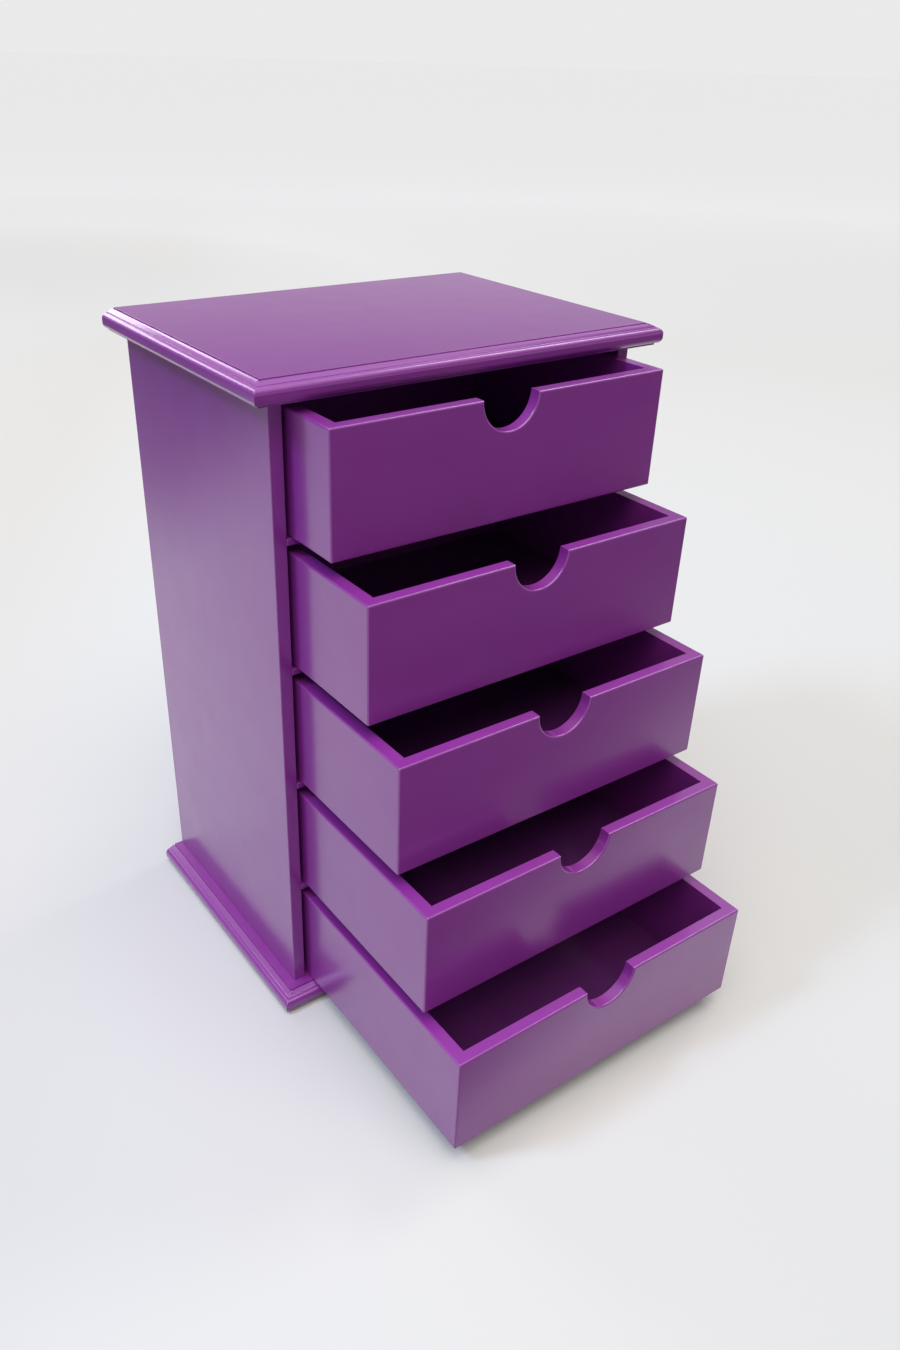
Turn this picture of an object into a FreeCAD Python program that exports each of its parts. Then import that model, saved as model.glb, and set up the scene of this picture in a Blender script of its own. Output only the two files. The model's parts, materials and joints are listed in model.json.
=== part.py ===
import FreeCAD, Part
import os
import math
import Sketcher

# Jewelry chest with a moulded top board, a matching base board and five open-topped
# drawers that stand in steps, the lowest pulled out furthest.
# Lengths are in millimetres, +Z is up, the drawers slide out towards -Y, and the origin
# lies in the middle of the base board's underside.

doc = FreeCAD.newDocument("JewelryChest")
sheet = doc.addObject("Spreadsheet::Sheet", "Sizes")


class Size:
    """A length that knows its number and the text that binds a property to the sheet."""

    def __init__(self, number, text):
        self.number = number
        self.text = text

    def joined(self, sign, other, number):
        other_text = other.text if isinstance(other, Size) else repr(other)
        return Size(number, "(" + self.text + " " + sign + " " + other_text + ")")

    def __add__(self, other):
        return self.joined("+", other, self.number + number_of(other))

    def __sub__(self, other):
        return self.joined("-", other, self.number - number_of(other))

    def __rsub__(self, other):
        return Size(other - self.number, "(" + repr(other) + " - " + self.text + ")")

    def __mul__(self, other):
        return self.joined("*", other, self.number * number_of(other))

    def __truediv__(self, other):
        return self.joined("/", other, self.number / number_of(other))

    def __neg__(self):
        return Size(-self.number, "(-1 * " + self.text + ")")


def number_of(value):
    return value.number if isinstance(value, Size) else value


def text_of(value):
    return value.text if isinstance(value, Size) else repr(value)


sheet_rows = []


def size(alias, number, note):
    """Writes one driving dimension into the sheet and returns it as a Size."""
    sheet_rows.append(alias)
    row = str(len(sheet_rows))
    sheet.set("A" + row, alias)
    sheet.set("B" + row, repr(number))
    sheet.set("C" + row, note)
    sheet.setAlias("B" + row, alias)
    return Size(number, "Sizes." + alias)


# Driving dimensions of a drawer
drawer_width = size("drawer_width", 168.0, "outer width of a drawer")
drawer_height = size("drawer_height", 52.0, "outer height of a drawer")
drawer_depth = size("drawer_depth", 130.0, "drawer from front face to back face")
side_wall = size("side_wall", 6.0, "thickness of a drawer side")
front_wall = size("front_wall", 5.5, "thickness of a drawer front")
rear_wall = size("rear_wall", 5.5, "thickness of a drawer back")
floor_board = size("floor_board", 3.0, "thickness of a drawer bottom")
floor_recess = size("floor_recess", 1.0, "drawer bottom above the lower edges of the walls")
notch_radius = size("notch_radius", 14.0, "half-round finger notch in a drawer front")
arris_radius = size("arris_radius", 0.8, "softened outer edges of a drawer")

# Running clearances of a drawer in its compartment
side_gap = size("side_gap", 2.0, "air beside a drawer, each side")
under_gap = size("under_gap", 0.3, "air below a drawer")
head_gap = size("head_gap", 3.9, "air above a drawer")
rear_gap = size("rear_gap", 1.0, "air behind a closed drawer")

# Driving dimensions of the cabinet
panel_thickness = size("panel_thickness", 6.0, "thickness of a side panel")
back_thickness = size("back_thickness", 3.0, "thickness of the back panel")
divider_thickness = size("divider_thickness", 3.0, "thickness of a shelf between drawers")
board_thickness = size("board_thickness", 9.4, "thickness of the top and base boards")

# Edge moulding of the top and base boards
face_lip = size("face_lip", 4.6, "flat face beyond the side panels and their front edges")
quirk_width = size("quirk_width", 0.6, "narrow groove that ends the flat face")
quirk_depth = size("quirk_depth", 0.9, "depth of that groove")
shoulder_drop = size("shoulder_drop", 0.3, "shoulder starts this far below the flat face")
shoulder_width = size("shoulder_width", 2.6, "sloping shoulder beyond the groove")
shoulder_fall = size("shoulder_fall", 1.2, "fall of the shoulder over its width")
nose_step = size("nose_step", 0.3, "small step from the shoulder down to the nose")
nose_radius = size("nose_radius", 2.65, "rounding of the nose from the step outwards")
nose_flat = size("nose_flat", 1.7, "upright face of the nose")
under_radius = size("under_radius", 2.45, "rounding back under the nose")

# How much of each drawer is still in its compartment
inside_top_drawer = size("inside_top_drawer", 99.5, "first drawer, length still inside")
inside_second_drawer = size("inside_second_drawer", 74.0, "second drawer, the same")
inside_third_drawer = size("inside_third_drawer", 52.0, "third drawer, the same")
inside_fourth_drawer = size("inside_fourth_drawer", 31.0, "fourth drawer, the same")
inside_lowest_drawer = size("inside_lowest_drawer", 5.5, "fifth drawer, the same")
doc.recompute()

# Sizes that follow from the driving ones
lengths_inside = [inside_top_drawer, inside_second_drawer, inside_third_drawer,
                  inside_fourth_drawer, inside_lowest_drawer]
drawer_count = len(lengths_inside)
inner_width = drawer_width + side_gap * 2
cabinet_width = inner_width + panel_thickness * 2
cabinet_depth = drawer_depth + rear_gap + back_thickness
cell_height = under_gap + drawer_height + head_gap
cell_pitch = cell_height + divider_thickness
panel_height = cell_pitch * drawer_count - divider_thickness
moulding_width = quirk_width + shoulder_width + nose_radius
board_reach = face_lip + moulding_width
board_width = cabinet_width + board_reach * 2
board_depth = cabinet_depth + board_reach

# Places of the cabinet: the origin is in the middle of the base board
board_front = -(board_depth / 2)
cabinet_front = board_front + board_reach
panel_bottom = board_thickness
top_underside = panel_bottom + panel_height

SMALL = 1e-4


def new_body(name):
    body = doc.addObject("PartDesign::Body", name)
    body.Label = name
    return body


def place(body, x, y, z):
    """Binds the place of a body to the sheet."""
    for axis, value in (("x", x), ("y", y), ("z", z)):
        body.setExpression("Placement.Base." + axis, text_of(value))


def new_sketch(body, name, role):
    """Starts a sketch on one of the body's own origin planes."""
    sketch = body.newObject("Sketcher::SketchObject", name)
    plane = [feature for feature in body.Origin.OriginFeatures if feature.Role == role][0]
    sketch.AttachmentSupport = (plane, "")
    sketch.MapMode = "FlatFace"
    return sketch


def hold(sketch, kind, geometry, point, value, name):
    """Holds one coordinate of a sketch point at a size, measured from the sketch origin."""
    number = number_of(value)
    if abs(number) < SMALL and not isinstance(value, Size):
        axis = -2 if kind == "DistanceX" else -1
        sketch.addConstraint(Sketcher.Constraint("PointOnObject", geometry, point, axis))
        return
    index = sketch.addConstraint(Sketcher.Constraint(kind, -1, 1, geometry, point, number))
    sketch.renameConstraint(index, name)
    sketch.setExpression("Constraints." + name, text_of(value))


def outline_edge(start, end, centre=None, turn=None):
    """One edge of an outline: a line, or an arc that turns about a centre."""
    return (start, end, centre, turn)


def lines(corners):
    """Straight edges from each corner to the next."""
    return [outline_edge(start, end) for start, end in zip(corners[:-1], corners[1:])]


OTHER_TURN = {None: None, "clockwise": "anticlockwise", "anticlockwise": "clockwise"}


def mirrored(edges, twice_axis):
    """The same run of edges on the other side of an upright line."""
    def over(point):
        return None if point is None else (twice_axis - point[0], point[1])
    return [outline_edge(over(start), over(end), over(centre), OTHER_TURN[turn])
            for start, end, centre, turn in edges]


def backwards_along(edges):
    """The same run of edges, drawn from its end to its start."""
    return [outline_edge(end, start, centre, OTHER_TURN[turn])
            for start, end, centre, turn in reversed(edges)]


def closed_outline(sketch, edges):
    """Draws a run of edges, closes it with a line and holds every corner at its sizes."""
    loop = edges + [outline_edge(edges[-1][1], edges[0][0])]

    def spot(point):
        return FreeCAD.Vector(number_of(point[0]), number_of(point[1]), 0)

    ends = []
    for start, end, centre, turn in loop:
        if centre is None:
            geometry = sketch.addGeometry(Part.LineSegment(spot(start), spot(end)), False)
            ends.append((geometry, 1, 2))
            continue
        middle = spot(centre)
        radius = spot(start).distanceToPoint(middle)
        circle = Part.Circle(middle, FreeCAD.Vector(0, 0, 1), radius)
        forwards = turn == "anticlockwise"
        low = (spot(start) if forwards else spot(end)) - middle
        high = (spot(end) if forwards else spot(start)) - middle
        low_angle = math.atan2(low.y, low.x)
        high_angle = math.atan2(high.y, high.x)
        if high_angle <= low_angle:
            high_angle += 2 * math.pi
        arc = Part.ArcOfCircle(circle, low_angle, high_angle)
        geometry = sketch.addGeometry(arc, False)
        ends.append((geometry, 1, 2) if forwards else (geometry, 2, 1))
    for before, here in zip([ends[-1]] + ends[:-1], ends):
        sketch.addConstraint(
            Sketcher.Constraint("Coincident", before[0], before[2], here[0], here[1]))
    for number, (start, end, centre, turn) in enumerate(loop):
        geometry, point = ends[number][:2]
        hold(sketch, "DistanceX", geometry, point, start[0], "across_" + str(number))
        hold(sketch, "DistanceY", geometry, point, start[1], "up_" + str(number))
        if centre is not None:
            hold(sketch, "DistanceY", geometry, 3, centre[1], "centre_" + str(number))


def pad(body, sketch, length, backwards=False):
    """Pads a sketch over a length that the sheet drives."""
    feature = body.newObject("PartDesign::Pad", sketch.Name + "_Pad")
    feature.Profile = sketch
    feature.setExpression("Length", text_of(length))
    feature.Reversed = backwards
    sketch.Visibility = False
    body.Tip = feature
    doc.recompute()
    return feature


def board_body(name, width, depth, height, x, y, z):
    """A plain rectangular board, its lower front left corner at x, y, z."""
    body = new_body(name)
    sketch = new_sketch(body, name + "_Plan", "XY_Plane")
    closed_outline(sketch, lines([(0.0, 0.0), (width, 0.0), (width, depth), (0.0, depth)]))
    pad(body, sketch, height)
    place(body, x, y, z)
    return body


def soften(body, feature, radius, wanted):
    """Rounds the edges of a feature that the test picks out."""
    names = []
    for index, edge in enumerate(feature.Shape.Edges, start=1):
        if wanted(edge):
            names.append("Edge" + str(index))
    fillet = body.newObject("PartDesign::Fillet", feature.Name + "_Soft")
    fillet.Base = (feature, names)
    fillet.setExpression("Radius", text_of(radius))
    body.Tip = fillet
    doc.recompute()
    return fillet


def lies_at(edge, axis, value):
    """Says whether an edge lies whole in the plane where one coordinate has a value."""
    box = edge.BoundBox
    low, high = {"x": (box.XMin, box.XMax), "y": (box.YMin, box.YMax),
                 "z": (box.ZMin, box.ZMax)}[axis]
    place_of_plane = number_of(value)
    return abs(low - place_of_plane) < SMALL and abs(high - place_of_plane) < SMALL


# Moulded boards
def moulding(flat_edge):
    """Moulded edge from the flat face round the nose and back to the underside."""
    top = board_thickness
    shoulder_in = flat_edge + quirk_width
    shoulder_top = top - shoulder_drop
    shoulder_out = shoulder_in + shoulder_width
    shoulder_foot = shoulder_top - shoulder_fall
    nose_top = shoulder_foot - nose_step
    reach = shoulder_out + nose_radius
    face_top = nose_top - nose_radius
    face_foot = face_top - nose_flat
    foot = reach - under_radius
    foot_top = face_foot - under_radius
    inner = lines([(flat_edge, top), (flat_edge, top - quirk_depth),
                   (shoulder_in, top - quirk_depth), (shoulder_in, shoulder_top),
                   (shoulder_out, shoulder_foot), (shoulder_out, nose_top)])
    over_nose = outline_edge((shoulder_out, nose_top), (reach, face_top),
                             (shoulder_out, face_top), "clockwise")
    face = lines([(reach, face_top), (reach, face_foot)])
    under_nose = outline_edge((reach, face_foot), (foot, foot_top),
                              (foot, face_foot), "clockwise")
    foot_face = lines([(foot, foot_top), (foot, 0.0)])
    return inner + [over_nose] + face + [under_nose] + foot_face


def moulded_board(name, z):
    """A board moulded along its two sides and its front, with a plain back edge.

    The board is what a length with both side mouldings and a length with the front
    moulding have in common, so the mouldings meet in a mitre at the front corners."""
    right = moulding(cabinet_width / 2 + face_lip)
    left = backwards_along(mirrored(right, 0.0))
    underside = lines([right[-1][1], left[0][0]])
    sides = new_body(name + "_Sides")
    section = new_sketch(sides, name + "_SideSection", "XZ_Plane")
    closed_outline(section, right + underside + left)
    pad(sides, section, board_depth, backwards=True)
    place(sides, 0.0, board_front, z)

    profile = mirrored(moulding(cabinet_depth + face_lip), board_depth)
    back_edge = lines([(board_depth, 0.0), (board_depth, board_thickness), profile[0][0]])
    front = new_body(name + "_Front")
    section = new_sketch(front, name + "_FrontSection", "YZ_Plane")
    closed_outline(section, back_edge + profile)
    pad(front, section, board_width)
    place(front, -(board_width / 2), board_front, z)

    board = doc.addObject("Part::MultiCommon", name)
    board.Label = name
    board.Shapes = [sides, front]
    doc.recompute()
    return board


pieces = []
pieces.append(moulded_board("base_board", 0.0))
pieces.append(moulded_board("top_board", top_underside))

# Plain boards of the cabinet
pieces.append(board_body("left_side_panel", panel_thickness, cabinet_depth, panel_height,
                         -(cabinet_width / 2), cabinet_front, panel_bottom))
pieces.append(board_body("right_side_panel", panel_thickness, cabinet_depth, panel_height,
                         inner_width / 2, cabinet_front, panel_bottom))
pieces.append(board_body("back_panel", inner_width, back_thickness, panel_height,
                         -(inner_width / 2), cabinet_front + drawer_depth + rear_gap,
                         panel_bottom))
shelf_depth = drawer_depth + rear_gap
for number in range(1, drawer_count):
    shelf_bottom = panel_bottom + cell_pitch * (drawer_count - number) - divider_thickness
    pieces.append(board_body("shelf_" + str(number), inner_width, shelf_depth,
                             divider_thickness, -(inner_width / 2), cabinet_front,
                             shelf_bottom))


# Pieces of a drawer
def drawer_front(name, x, y, z):
    """Drawer front with the half-round finger notch in its top edge."""
    body = new_body(name)
    sketch = new_sketch(body, name + "_Face", "XZ_Plane")
    half = drawer_width / 2
    round_the_wall = lines([(-notch_radius, drawer_height), (-half, drawer_height),
                            (-half, 0.0), (half, 0.0), (half, drawer_height)])
    notch = outline_edge((notch_radius, drawer_height), (-notch_radius, drawer_height),
                         (0.0, drawer_height), "clockwise")
    closed_outline(sketch, [notch] + round_the_wall)
    face = pad(body, sketch, front_wall, backwards=True)

    def outer_arris(edge):
        on_face = lies_at(edge, "y", 0.0)
        on_end = lies_at(edge, "x", half) or lies_at(edge, "x", -half)
        on_rim = lies_at(edge, "z", 0.0) or lies_at(edge, "z", drawer_height)
        return on_face or (on_end and on_rim)

    soften(body, face, arris_radius, outer_arris)
    place(body, x, y, z)
    return body


def drawer_back(name, x, y, z):
    """Drawer back as wide as the drawer."""
    body = new_body(name)
    sketch = new_sketch(body, name + "_Face", "XZ_Plane")
    half = drawer_width / 2
    closed_outline(sketch, lines([(-half, 0.0), (half, 0.0), (half, drawer_height),
                                  (-half, drawer_height)]))
    face = pad(body, sketch, rear_wall, backwards=True)

    def outer_arris(edge):
        on_face = lies_at(edge, "y", rear_wall)
        on_end = lies_at(edge, "x", half) or lies_at(edge, "x", -half)
        on_rim = lies_at(edge, "z", 0.0) or lies_at(edge, "z", drawer_height)
        return on_face or (on_end and on_rim)

    soften(body, face, arris_radius, outer_arris)
    place(body, x, y, z)
    return body


def drawer_side(name, outer_left, x, y, z):
    """Drawer side between the front and the back, its outer edges softened."""
    body = new_body(name)
    sketch = new_sketch(body, name + "_Plan", "XY_Plane")
    length = drawer_depth - front_wall - rear_wall
    closed_outline(sketch, lines([(0.0, 0.0), (side_wall, 0.0), (side_wall, length),
                                  (0.0, length)]))
    wall = pad(body, sketch, drawer_height)
    outer = 0.0 if outer_left else side_wall

    def outer_arris(edge):
        on_rim = lies_at(edge, "z", 0.0) or lies_at(edge, "z", drawer_height)
        return lies_at(edge, "x", outer) and on_rim

    soften(body, wall, arris_radius, outer_arris)
    place(body, x, y, z)
    return body


for number, length_inside in enumerate(lengths_inside, start=1):
    name = "drawer_" + str(number)
    front_plane = cabinet_front + length_inside - drawer_depth
    bottom = panel_bottom + cell_pitch * (drawer_count - number) + under_gap
    half = drawer_width / 2
    inside = drawer_width - side_wall * 2
    length = drawer_depth - front_wall - rear_wall
    behind_front = front_plane + front_wall
    pieces.append(drawer_front(name + "_front", 0.0, front_plane, bottom))
    pieces.append(drawer_side(name + "_left_side", True, -half, behind_front, bottom))
    pieces.append(drawer_side(name + "_right_side", False, half - side_wall, behind_front,
                              bottom))
    pieces.append(drawer_back(name + "_back", 0.0, behind_front + length, bottom))
    pieces.append(board_body(name + "_bottom", inside, length, floor_board,
                             -(inside / 2), behind_front, bottom + floor_recess))

doc.recompute()

# Every object has to be sound before any piece is written
faults = [item.Name for item in doc.Objects
          if "Invalid" in item.State or "Error" in item.State]
for piece in pieces:
    shape = piece.Shape
    if shape.isNull() or not shape.isValid() or len(shape.Solids) != 1:
        faults.append(piece.Label)
if faults:
    raise RuntimeError("these objects are not sound: " + ", ".join(faults))

os.makedirs("parts", exist_ok=True)
for piece in pieces:
    piece.Shape.exportStep("parts/" + piece.Label + ".step")
    box = piece.Shape.BoundBox
    print(piece.Label, round(piece.Shape.Volume, 1),
          [round(v, 2) for v in (box.XMin, box.YMin, box.ZMin, box.XMax, box.YMax, box.ZMax)])
print(len(pieces), "pieces")
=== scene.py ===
import json
import math
import bmesh
import bpy
from mathutils import Matrix, Vector

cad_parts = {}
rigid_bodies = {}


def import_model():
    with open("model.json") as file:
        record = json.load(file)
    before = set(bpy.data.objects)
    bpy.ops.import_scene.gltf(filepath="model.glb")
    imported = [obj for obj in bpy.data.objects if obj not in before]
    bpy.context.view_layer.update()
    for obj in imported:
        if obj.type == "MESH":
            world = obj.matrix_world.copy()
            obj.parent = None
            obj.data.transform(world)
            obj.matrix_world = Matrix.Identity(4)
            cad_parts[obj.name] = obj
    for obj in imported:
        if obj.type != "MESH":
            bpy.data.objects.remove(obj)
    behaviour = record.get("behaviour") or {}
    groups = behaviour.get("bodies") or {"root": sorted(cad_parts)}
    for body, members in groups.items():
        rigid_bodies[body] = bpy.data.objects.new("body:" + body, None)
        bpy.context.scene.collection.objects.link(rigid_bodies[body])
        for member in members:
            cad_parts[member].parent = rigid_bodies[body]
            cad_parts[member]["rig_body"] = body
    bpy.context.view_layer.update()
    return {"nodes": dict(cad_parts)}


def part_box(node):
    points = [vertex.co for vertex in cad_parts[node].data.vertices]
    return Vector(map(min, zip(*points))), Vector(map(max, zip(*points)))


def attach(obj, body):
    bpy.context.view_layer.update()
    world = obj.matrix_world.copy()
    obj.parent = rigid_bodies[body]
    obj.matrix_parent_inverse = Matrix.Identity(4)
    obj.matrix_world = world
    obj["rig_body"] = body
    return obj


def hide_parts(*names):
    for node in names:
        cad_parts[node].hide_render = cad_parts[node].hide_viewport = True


# Jewelry chest of five open-topped drawers in purple satin paint.
# Metres, +Z up, drawers slide out towards -Y.

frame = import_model()
MM = 0.001


# ---------------------------------------------------------------- camera
# The camera that the photograph's edges and corners fit. Angles in radians.
CAMERA_PLACE = (-0.277755, -0.420579, 0.416532)
CAMERA_PITCH = 0.5343
CAMERA_TURN = -0.6312
CAMERA_TILT = -0.0305
LENS = 43.80
SHIFT_RIGHT = 0.0264
SHIFT_UP = 0.0185


def aim_camera():
    """Camera at the photograph's viewing angle, with the picture's slight tilt."""
    forward = Vector((-math.sin(CAMERA_TURN) * math.cos(CAMERA_PITCH),
                      math.cos(CAMERA_TURN) * math.cos(CAMERA_PITCH),
                      -math.sin(CAMERA_PITCH)))
    right = Vector((math.cos(CAMERA_TURN), math.sin(CAMERA_TURN), 0.0))
    down = forward.cross(right)
    tilted_right = math.cos(CAMERA_TILT) * right + math.sin(CAMERA_TILT) * down
    tilted_down = -math.sin(CAMERA_TILT) * right + math.cos(CAMERA_TILT) * down
    data = bpy.data.cameras.new("view")
    data.sensor_fit = "HORIZONTAL"
    data.sensor_width = 36.0
    data.lens = LENS
    data.shift_x = SHIFT_RIGHT
    data.shift_y = SHIFT_UP
    data.clip_start = 0.02
    data.clip_end = 60.0
    camera = bpy.data.objects.new("view", data)
    placed = Matrix((tilted_right, -tilted_down, -forward)).transposed().to_4x4()
    placed.translation = Vector(CAMERA_PLACE)
    camera.matrix_world = placed
    bpy.context.scene.collection.objects.link(camera)
    bpy.context.scene.camera = camera


# ---------------------------------------------------------------- finishes
def grey(value):
    return (value, value, value, 1.0)


class Finish:
    """A finish put together from shader nodes on object coordinates."""

    def __init__(self, name):
        self.material = bpy.data.materials.new(name)
        self.material.use_nodes = True
        self.tree = self.material.node_tree
        self.shader = self.tree.nodes["Principled BSDF"]
        self.place = self.node("ShaderNodeTexCoord").outputs["Object"]

    def node(self, kind, **settings):
        made = self.tree.nodes.new(kind)
        for key, value in settings.items():
            setattr(made, key, value)
        return made

    def join(self, source, target):
        self.tree.links.new(source, target)

    def set(self, socket, value):
        """Sets one of the shader's own values."""
        self.shader.inputs[socket].default_value = value

    def stretched(self, scale):
        """Object coordinates stretched by a factor along each axis."""
        mapping = self.node("ShaderNodeMapping")
        mapping.inputs["Scale"].default_value = scale
        self.join(self.place, mapping.inputs["Vector"])
        return mapping.outputs["Vector"]

    def noise(self, scale, detail, rough, vector=None):
        made = self.node("ShaderNodeTexNoise")
        made.inputs["Scale"].default_value = scale
        made.inputs["Detail"].default_value = detail
        made.inputs["Roughness"].default_value = rough
        self.join(vector or self.place, made.inputs["Vector"])
        return made.outputs["Fac"]

    def spread(self, value, low, high, to_low, to_high):
        """Maps a value from one range to another."""
        made = self.node("ShaderNodeMapRange")
        for key, number in (("From Min", low), ("From Max", high),
                            ("To Min", to_low), ("To Max", to_high)):
            made.inputs[key].default_value = number
        self.join(value, made.inputs["Value"])
        return made.outputs["Result"]

    def product(self, first, second):
        made = self.node("ShaderNodeMath", operation="MULTIPLY")
        self.join(first, made.inputs[0])
        self.join(second, made.inputs[1])
        return made.outputs[0]

    def measured(self, operation, vector):
        made = self.node("ShaderNodeVectorMath", operation=operation)
        self.join(self.place, made.inputs[0])
        made.inputs[1].default_value = vector
        return made.outputs["Value"]

    def distance_from(self, centre):
        """How far each place is from a point."""
        return self.measured("DISTANCE", centre)

    def reach_along(self, direction):
        """How far each place lies along a direction."""
        return self.measured("DOT_PRODUCT", direction)

    def blend(self, amount, first, second):
        """Mixes two colours, each a colour or a socket."""
        made = self.node("ShaderNodeMix", data_type="RGBA")
        self.join(amount, made.inputs["Factor"])
        for socket, value in ((made.inputs[6], first), (made.inputs[7], second)):
            if isinstance(value, tuple):
                socket.default_value = value
            else:
                self.join(value, socket)
        return made.outputs[2]

    def bump(self, height, strength, distance, below=None):
        made = self.node("ShaderNodeBump")
        made.inputs["Strength"].default_value = strength
        made.inputs["Distance"].default_value = distance
        self.join(height, made.inputs["Height"])
        if below is not None:
            self.join(below, made.inputs["Normal"])
        return made.outputs["Normal"]


def seen_rays(tree):
    """One for camera, glossy and transmission rays, nought for the light thrown back."""
    path = tree.nodes.new("ShaderNodeLightPath")
    total = path.outputs["Is Camera Ray"]
    for ray in ("Is Glossy Ray", "Is Transmission Ray"):
        add = tree.nodes.new("ShaderNodeMath")
        add.operation = "ADD"
        add.use_clamp = True
        tree.links.new(total, add.inputs[0])
        tree.links.new(path.outputs[ray], add.inputs[1])
        total = add.outputs[0]
    return total


# How far the colour goes over to the lighter tone, at the most.
BAND_SHARE = 0.35
SCUFF_SHARE = 0.55


def satin_paint(name, tones, roughness, along):
    """Sprayed satin paint under a soft sheen: a mottle, faint bands along the board, a
    fine orange peel, and a little lighter where the arrises are rubbed."""
    tone, shade, light = tones
    smoothest, roughest = roughness
    paint = Finish(name)
    cloud = paint.spread(paint.noise(22.0, 2.0, 0.5), 0.2, 0.8, 0.0, 1.0)
    mottled = paint.blend(cloud, tone, shade)
    bands = paint.noise(1.0, 2.0, 0.5, paint.stretched(along))
    bands = paint.spread(bands, 0.25, 0.75, 0.0, BAND_SHARE)
    banded = paint.blend(bands, mottled, light)
    rubbed = paint.node("ShaderNodeAttribute", attribute_name="rubbed").outputs["Fac"]
    scuffs = paint.spread(paint.noise(160.0, 3.0, 0.6), 0.42, 0.62, 0.0, SCUFF_SHARE)
    colour = paint.blend(paint.product(rubbed, scuffs), banded, light)
    paint.join(colour, paint.shader.inputs["Base Color"])
    if smoothest < roughest:
        gloss = paint.spread(paint.noise(60.0, 1.0, 0.4), 0.0, 1.0, smoothest, roughest)
        paint.join(gloss, paint.shader.inputs["Roughness"])
    else:
        paint.set("Roughness", smoothest)
    waves = paint.bump(paint.noise(45.0, 1.0, 0.4), 0.08, 0.2 * MM)
    peel = paint.bump(paint.noise(420.0, 1.0, 0.4), 0.06, 0.04 * MM, waves)
    paint.join(peel, paint.shader.inputs["Normal"])
    paint.set("Specular IOR Level", 0.45)
    paint.set("Coat Weight", 1.0)
    paint.set("Coat IOR", 1.5)
    paint.set("Coat Roughness", 0.19)
    return paint.material


# Middle, darker and lighter tone of the paint, and of the drawers' bottoms. The bottoms take
# a darker copy of the same paint: painted shade for the shade inside the drawers.
PURPLES = ((0.245, 0.024, 0.275, 1.0), (0.230, 0.021, 0.259, 1.0),
           (0.285, 0.040, 0.315, 1.0))
SHADED_BOTTOM_PURPLES = ((0.125, 0.020, 0.143, 1.0), (0.117, 0.019, 0.134, 1.0),
                (0.145, 0.026, 0.164, 1.0))

# From the smoothest to the roughest spot.
SATIN = (0.31, 0.43)
EVEN_SATIN = (0.36, 0.36)

# The bands are fine across a board and long in its own direction.
UPRIGHT = (60.0, 60.0, 5.0)
ACROSS = (5.0, 60.0, 60.0)
LENGTHWISE = (60.0, 5.0, 60.0)

upright_paint = satin_paint("purple_satin_upright", PURPLES, SATIN, UPRIGHT)
across_paint = satin_paint("purple_satin_across", PURPLES, SATIN, ACROSS)
length_paint = satin_paint("purple_satin_lengthwise", PURPLES, SATIN, LENGTHWISE)
# The drawers' bottoms: the same paint made darker, as painted shade inside the drawers.
shaded_inside_paint = satin_paint("purple_painted_shade_inside", SHADED_BOTTOM_PURPLES, EVEN_SATIN, LENGTHWISE)


# ---------------------------------------------------------------- pieces
# How far the arrises of each kind of board are eased.
MOULDED_EASE = 0.18 * MM
PANEL_EASE = 0.4 * MM
SHELF_EASE = 0.3 * MM
DRAWER_EASE = 0.3 * MM
BOTTOM_EASE = 0.1 * MM

SHARP_ARRIS = math.radians(40.0)
SHARP_SHADING = math.radians(35.0)
LEVEL_WITHIN = 0.05 * MM


def softened(node, width, wanted, paint):
    """A copy of a board with its sharp arrises eased, which takes the board's place."""
    source = frame["nodes"][node]
    shape = bmesh.new()
    shape.from_mesh(source.data)
    bmesh.ops.remove_doubles(shape, verts=shape.verts[:], dist=0.01 * MM)
    bmesh.ops.dissolve_limit(shape, angle_limit=math.radians(0.5), verts=shape.verts[:],
                             edges=shape.edges[:])
    sharp = [edge for edge in shape.edges
             if len(edge.link_faces) == 2
             and edge.calc_face_angle() > SHARP_ARRIS and wanted(edge)]
    layer = shape.faces.layers.float.new("rubbed")
    eased = bmesh.ops.bevel(shape, geom=sharp, offset=width, segments=2, profile=0.5,
                            affect="EDGES", material=-1, clamp_overlap=True)
    for face in shape.faces:
        face.smooth = True
        face[layer] = 0.0
    for face in eased["faces"]:
        face[layer] = 1.0
    mesh = bpy.data.meshes.new(node + "_painted")
    shape.to_mesh(mesh)
    shape.free()
    mesh.set_sharp_from_angle(angle=SHARP_SHADING)
    mesh.materials.append(paint)
    piece = bpy.data.objects.new(node + "_painted", mesh)
    bpy.context.scene.collection.objects.link(piece)
    weigh = piece.modifiers.new("even_normals", "WEIGHTED_NORMAL")
    weigh.keep_sharp = True
    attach(piece, source["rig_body"])
    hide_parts(node)


def every(edge):
    return True


def rim_of(node):
    """Picks the edges that lie in the top face of a drawer's wall."""
    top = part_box(node)[1].z

    def in_top_face(edge):
        return all(abs(vert.co.z - top) < LEVEL_WITHIN for vert in edge.verts)
    return in_top_face


for node in ("base_board", "top_board"):
    softened(node, MOULDED_EASE, every, across_paint)
for node in ("left_side_panel", "right_side_panel", "back_panel"):
    softened(node, PANEL_EASE, every, upright_paint)
for number in range(1, 5):
    softened("shelf_" + str(number), SHELF_EASE, every, across_paint)
for number in range(1, 6):
    drawer = "drawer_" + str(number)
    for wall, paint in (("_front", across_paint), ("_back", across_paint),
                        ("_left_side", length_paint), ("_right_side", length_paint)):
        softened(drawer + wall, DRAWER_EASE, rim_of(drawer + wall), paint)
    # The bottoms take the darker copy of the paint, which is painted shade.
    softened(drawer + "_bottom", BOTTOM_EASE, every, shaded_inside_paint)
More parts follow.
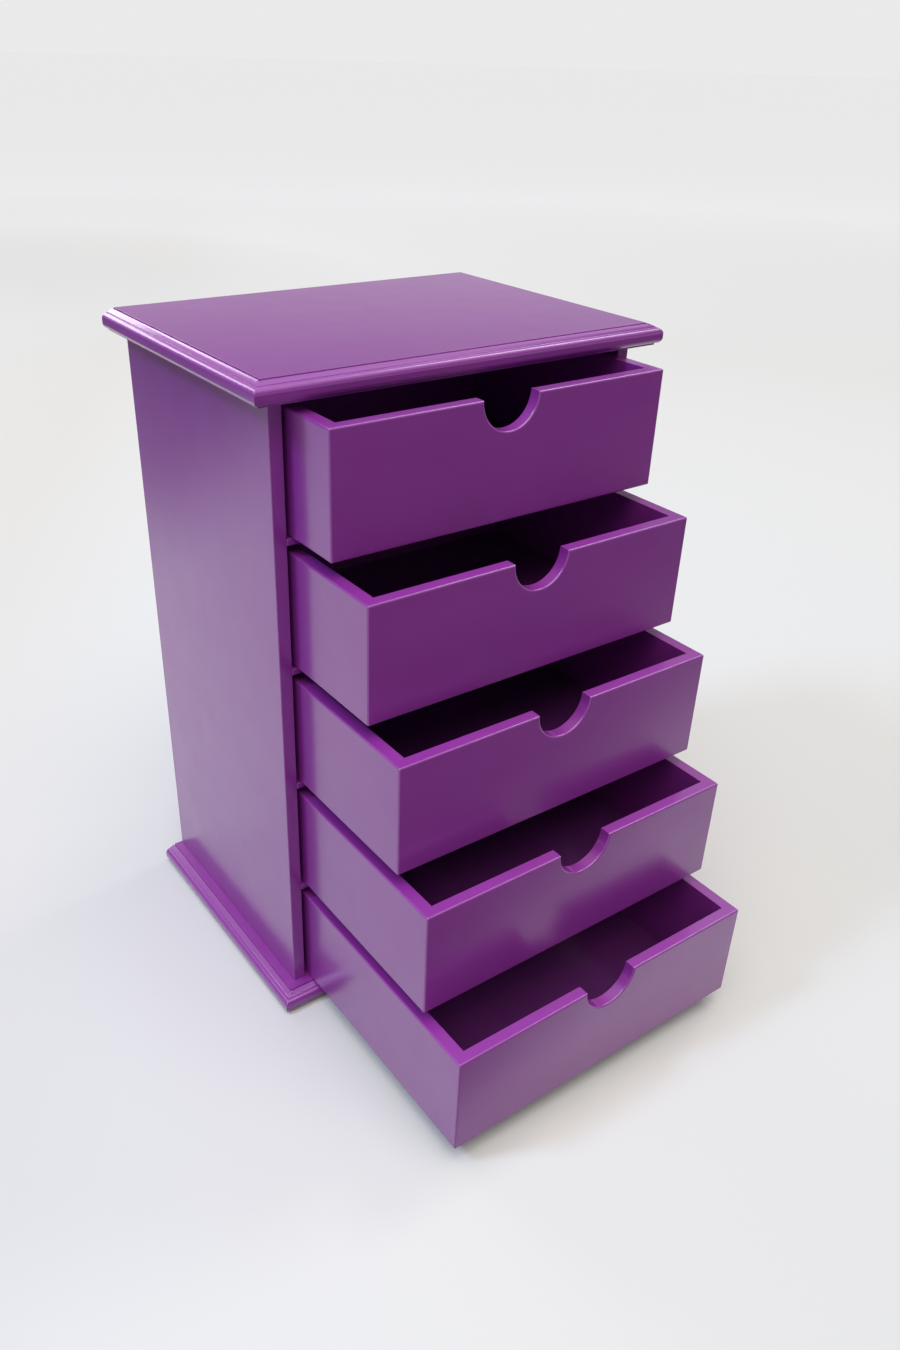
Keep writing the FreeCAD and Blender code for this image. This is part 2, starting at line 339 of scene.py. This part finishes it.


# ---------------------------------------------------------------- setting
# The floor's main tone, and the tones it takes close to the chest, beside it at the left, in
# the distance and under the lamp behind. Close to the chest the tone is lighter: painted
# light over the chest's shadow in front of it.
FLOOR_TONE = (0.620, 0.612, 0.596, 1.0)
NEAR_TONE = (0.650, 0.636, 0.604, 1.0)
LEFT_TONE = (0.590, 0.566, 0.528, 1.0)
FAR_TONE = (0.800, 0.800, 0.810, 1.0)
REAR_TONE = (0.575, 0.570, 0.560, 1.0)
BOUNCE_TONE = grey(0.34)
# Dark tones of the sheets seen only in the paint's gloss, which paint darker reflections
# into the paint.
DARK_REFLECTION_TONE = grey(0.03)
CURTAIN_REFLECTION_TONE = grey(0.10)
BACKDROP_TONE = grey(0.825)

CHEST_FRONT = (-0.06, -0.24, 0.0)
CHEST_MIDDLE = (0.0, -0.05, 0.16)
BELOW_REAR_LAMP = (0.20, 1.80, 0.0)
LEFT_AND_BACK = (-1.0, 0.55, 0.0)
UPWARDS = (0.0, 0.0, 1.0)
FLOOR_RADIUS = 30.0
FLAG_HEIGHT = 1.0 * MM


def set_up(name, shape, cover, roughness, gloss_only):
    """Makes a dull piece of the setting, plain or seen by the paint's gloss only."""
    cover.set("Roughness", roughness)
    cover.set("Specular IOR Level", 0.0)
    mesh = bpy.data.meshes.new(name)
    shape.to_mesh(mesh)
    shape.free()
    mesh.materials.append(cover.material)
    piece = bpy.data.objects.new(name, mesh)
    if gloss_only:
        piece.visible_camera = False
        piece.visible_diffuse = False
        piece.visible_shadow = False
    bpy.context.scene.collection.objects.link(piece)


def pale_floor():
    """A wide pale floor. Its tone makes up for the lamps, so that it looks even, and it
    throws back less light than it shows."""
    shape = bmesh.new()
    bmesh.ops.create_circle(shape, cap_ends=True, segments=96, radius=FLOOR_RADIUS)
    cover = Finish("pale_floor")
    pale = FLOOR_TONE
    for measure, begins, ends, tone in (
            (cover.distance_from(CHEST_FRONT), 0.32, 0.05, NEAR_TONE),
            (cover.reach_along(LEFT_AND_BACK), 0.15, 0.36, LEFT_TONE),
            (cover.distance_from(CHEST_FRONT), 1.55, 3.50, FAR_TONE),
            (cover.distance_from(BELOW_REAR_LAMP), 0.90, 0.20, REAR_TONE)):
        pale = cover.blend(cover.spread(measure, begins, ends, 0.0, 1.0), pale, tone)
    cover.join(cover.blend(seen_rays(cover.tree), BOUNCE_TONE, pale),
               cover.shader.inputs["Base Color"])
    set_up("floor", shape, cover, 0.8, gloss_only=False)


def dark_flag(name, low, high, rise, direction, pale_at, dark_at):
    """A sheet on the floor out of the picture, from its near left to its far right corner,
    which may rise from its near edge. It darkens along one direction. It is seen only in the
    paint's gloss and throws no shadow, so it paints darker reflections into the paint."""
    shape = bmesh.new()
    bmesh.ops.create_grid(shape, x_segments=1, y_segments=1, size=0.5)
    bmesh.ops.scale(shape, vec=(high[0] - low[0], high[1] - low[1], 1.0),
                    verts=shape.verts[:])
    bmesh.ops.translate(shape, vec=(0.5 * (low[0] + high[0]), 0.5 * (low[1] + high[1]),
                                    FLAG_HEIGHT), verts=shape.verts[:])
    bmesh.ops.rotate(shape, cent=(low[0], low[1], FLAG_HEIGHT), verts=shape.verts[:],
                     matrix=Matrix.Rotation(math.radians(rise), 3, "X"))
    cloth = Finish(name)
    fade = cloth.spread(cloth.reach_along(direction), pale_at, dark_at, 0.0, 1.0)
    cloth.join(cloth.blend(fade, FLOOR_TONE, DARK_REFLECTION_TONE), cloth.shader.inputs["Base Color"])
    set_up(name, shape, cloth, 0.9, gloss_only=True)


def dark_curtain(radius, rises, falls):
    """A round curtain far behind everything. It fades in over the first range of heights and
    out again over the second. Seen only in the paint's gloss, it paints a dark band into the
    reflections all round."""
    shape = bmesh.new()
    bmesh.ops.create_cone(shape, cap_ends=False, segments=96, radius1=radius, radius2=radius,
                          depth=falls[1] - rises[0])
    bmesh.ops.translate(shape, vec=(0.0, 0.0, 0.5 * (rises[0] + falls[1])),
                        verts=shape.verts[:])
    bmesh.ops.reverse_faces(shape, faces=shape.faces[:])
    cloth = Finish("dark_curtain")
    height = cloth.reach_along(UPWARDS)
    thick = cloth.product(cloth.spread(height, rises[0], rises[1], 0.0, 1.0),
                          cloth.spread(height, falls[0], falls[1], 1.0, 0.0))
    cloth.join(thick, cloth.shader.inputs["Alpha"])
    cloth.set("Base Color", CURTAIN_REFLECTION_TONE)
    set_up("dark_curtain", shape, cloth, 0.9, gloss_only=True)


def sky(strength, colour):
    """Even light from all round, in front of a plain pale backdrop."""
    world = bpy.data.worlds.new("studio")
    bpy.context.scene.world = world
    world.use_nodes = True
    nodes = world.node_tree.nodes
    links = world.node_tree.links
    even = nodes["Background"]
    even.inputs["Color"].default_value = colour
    even.inputs["Strength"].default_value = strength
    pale = nodes.new("ShaderNodeBackground")
    pale.inputs["Color"].default_value = BACKDROP_TONE
    mix = nodes.new("ShaderNodeMixShader")
    links.new(seen_rays(world.node_tree), mix.inputs["Fac"])
    links.new(even.outputs[0], mix.inputs[1])
    links.new(pale.outputs[0], mix.inputs[2])
    links.new(mix.outputs[0], nodes["World Output"].inputs["Surface"])


def hang(data, centre, power, colour):
    """Puts a lamp in its place, turned towards the chest."""
    data.energy = power
    data.color = colour
    lamp = bpy.data.objects.new(data.name, data)
    lamp.location = centre
    towards = Vector(CHEST_MIDDLE) - Vector(centre)
    lamp.rotation_euler = towards.to_track_quat("-Z", "Y").to_euler()
    lamp.visible_camera = False
    bpy.context.scene.collection.objects.link(lamp)


def softbox(name, centre, size, power, colour):
    """A soft rectangular lamp, with its width, height and watts."""
    data = bpy.data.lights.new(name, "AREA")
    data.shape = "RECTANGLE"
    data.size, data.size_y = size
    hang(data, centre, power, colour)


def skylight(name, centre, angle, power, colour):
    """A wide soft light from far away."""
    data = bpy.data.lights.new(name, "SUN")
    data.angle = math.radians(angle)
    hang(data, centre, power, colour)


def light_studio():
    sky(0.30, (0.93, 0.97, 1.0, 1.0))
    skylight("overhead", (-0.45, -0.80, 3.0), 60.0, 2.42, (1.0, 0.98, 0.96))
    softbox("window_behind", (-0.25, 2.2, 1.32), (1.2, 0.60), 9.6, (0.98, 0.97, 1.0))
    softbox("window_left", (-1.35, 0.35, 1.65), (0.35, 0.35), 18.0, (0.52, 0.68, 1.0))
    softbox("key_right", (1.30, 0.05, 1.85), (0.6, 0.6), 8.0, (1.0, 1.0, 1.0))


pale_floor()
# Sheets seen only in the paint's gloss: painted darker reflections, behind at the left and
# in front at the right.
dark_flag("dark_flag_behind", low=(-3.0, 0.45), high=(-0.25, 1.70), rise=25.0,
          direction=(0.6, 1.0, 0.0), pale_at=0.27, dark_at=0.38)
dark_flag("dark_flag_in_front", low=(-0.10, -4.0), high=(4.0, -0.16), rise=0.0,
          direction=(0.281, 0.960, 0.0), pale_at=-0.200, dark_at=-0.240)
# A curtain seen only in the paint's gloss: a painted dark band in the reflections.
dark_curtain(radius=6.0, rises=(0.90, 2.00), falls=(2.50, 5.50))
light_studio()
aim_camera()
bpy.context.scene.view_settings.view_transform = "Standard"
